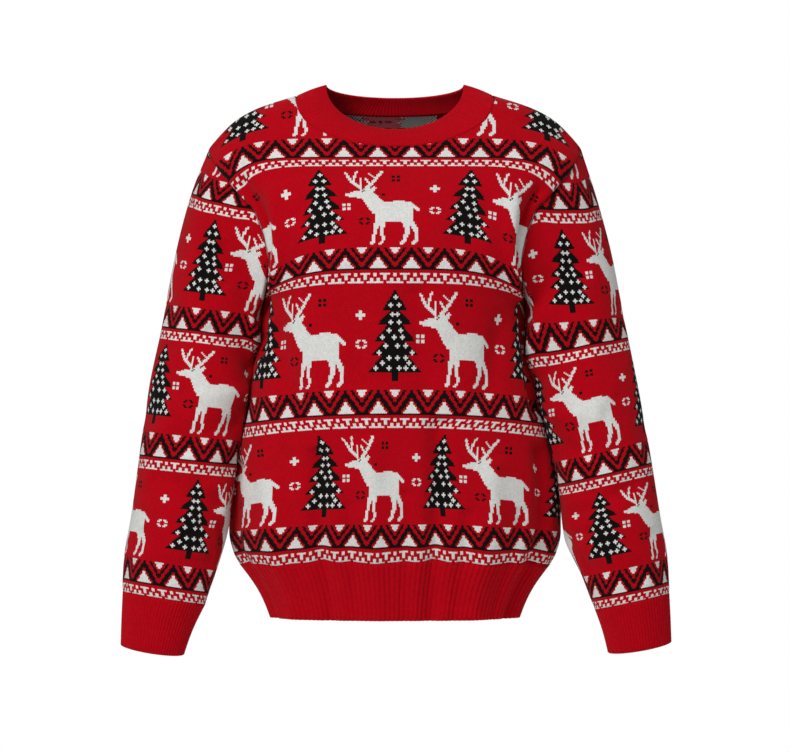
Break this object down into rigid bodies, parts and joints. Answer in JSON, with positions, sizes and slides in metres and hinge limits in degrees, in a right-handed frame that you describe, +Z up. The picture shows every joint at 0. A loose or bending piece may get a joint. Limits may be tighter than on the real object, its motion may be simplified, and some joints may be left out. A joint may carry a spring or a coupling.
{
  "type": "christmas sweater",
  "caption": "Hollow round-neck knitted pullover, as worn, with long set-in sleeves and ribbed hem, cuffs and neckband, in a pattern of deer, fir trees and zigzags.",
  "frame": {"origin": "midway between the high shoulder points of the neck seam, where the wearer's shoulders hold the garment up", "axes": "+Z up, the front faces -Y, +X is the wearer's left"},
  "size_m": [0.6418, 0.239, 0.6688],
  "materials": {
    "jacquard_knit": "matt knit in red, black and white yarn",
    "rib_knit": "matt red rib knit"
  },
  "bodies": {
    "root": {"front": "jacquard_knit", "back": "jacquard_knit", "sleeve_left": "jacquard_knit", "sleeve_right": "jacquard_knit", "hem_front": "rib_knit", "hem_back": "rib_knit", "cuff_left": "rib_knit", "cuff_right": "rib_knit", "neckband": "rib_knit"}
  },
  "joints": []
}
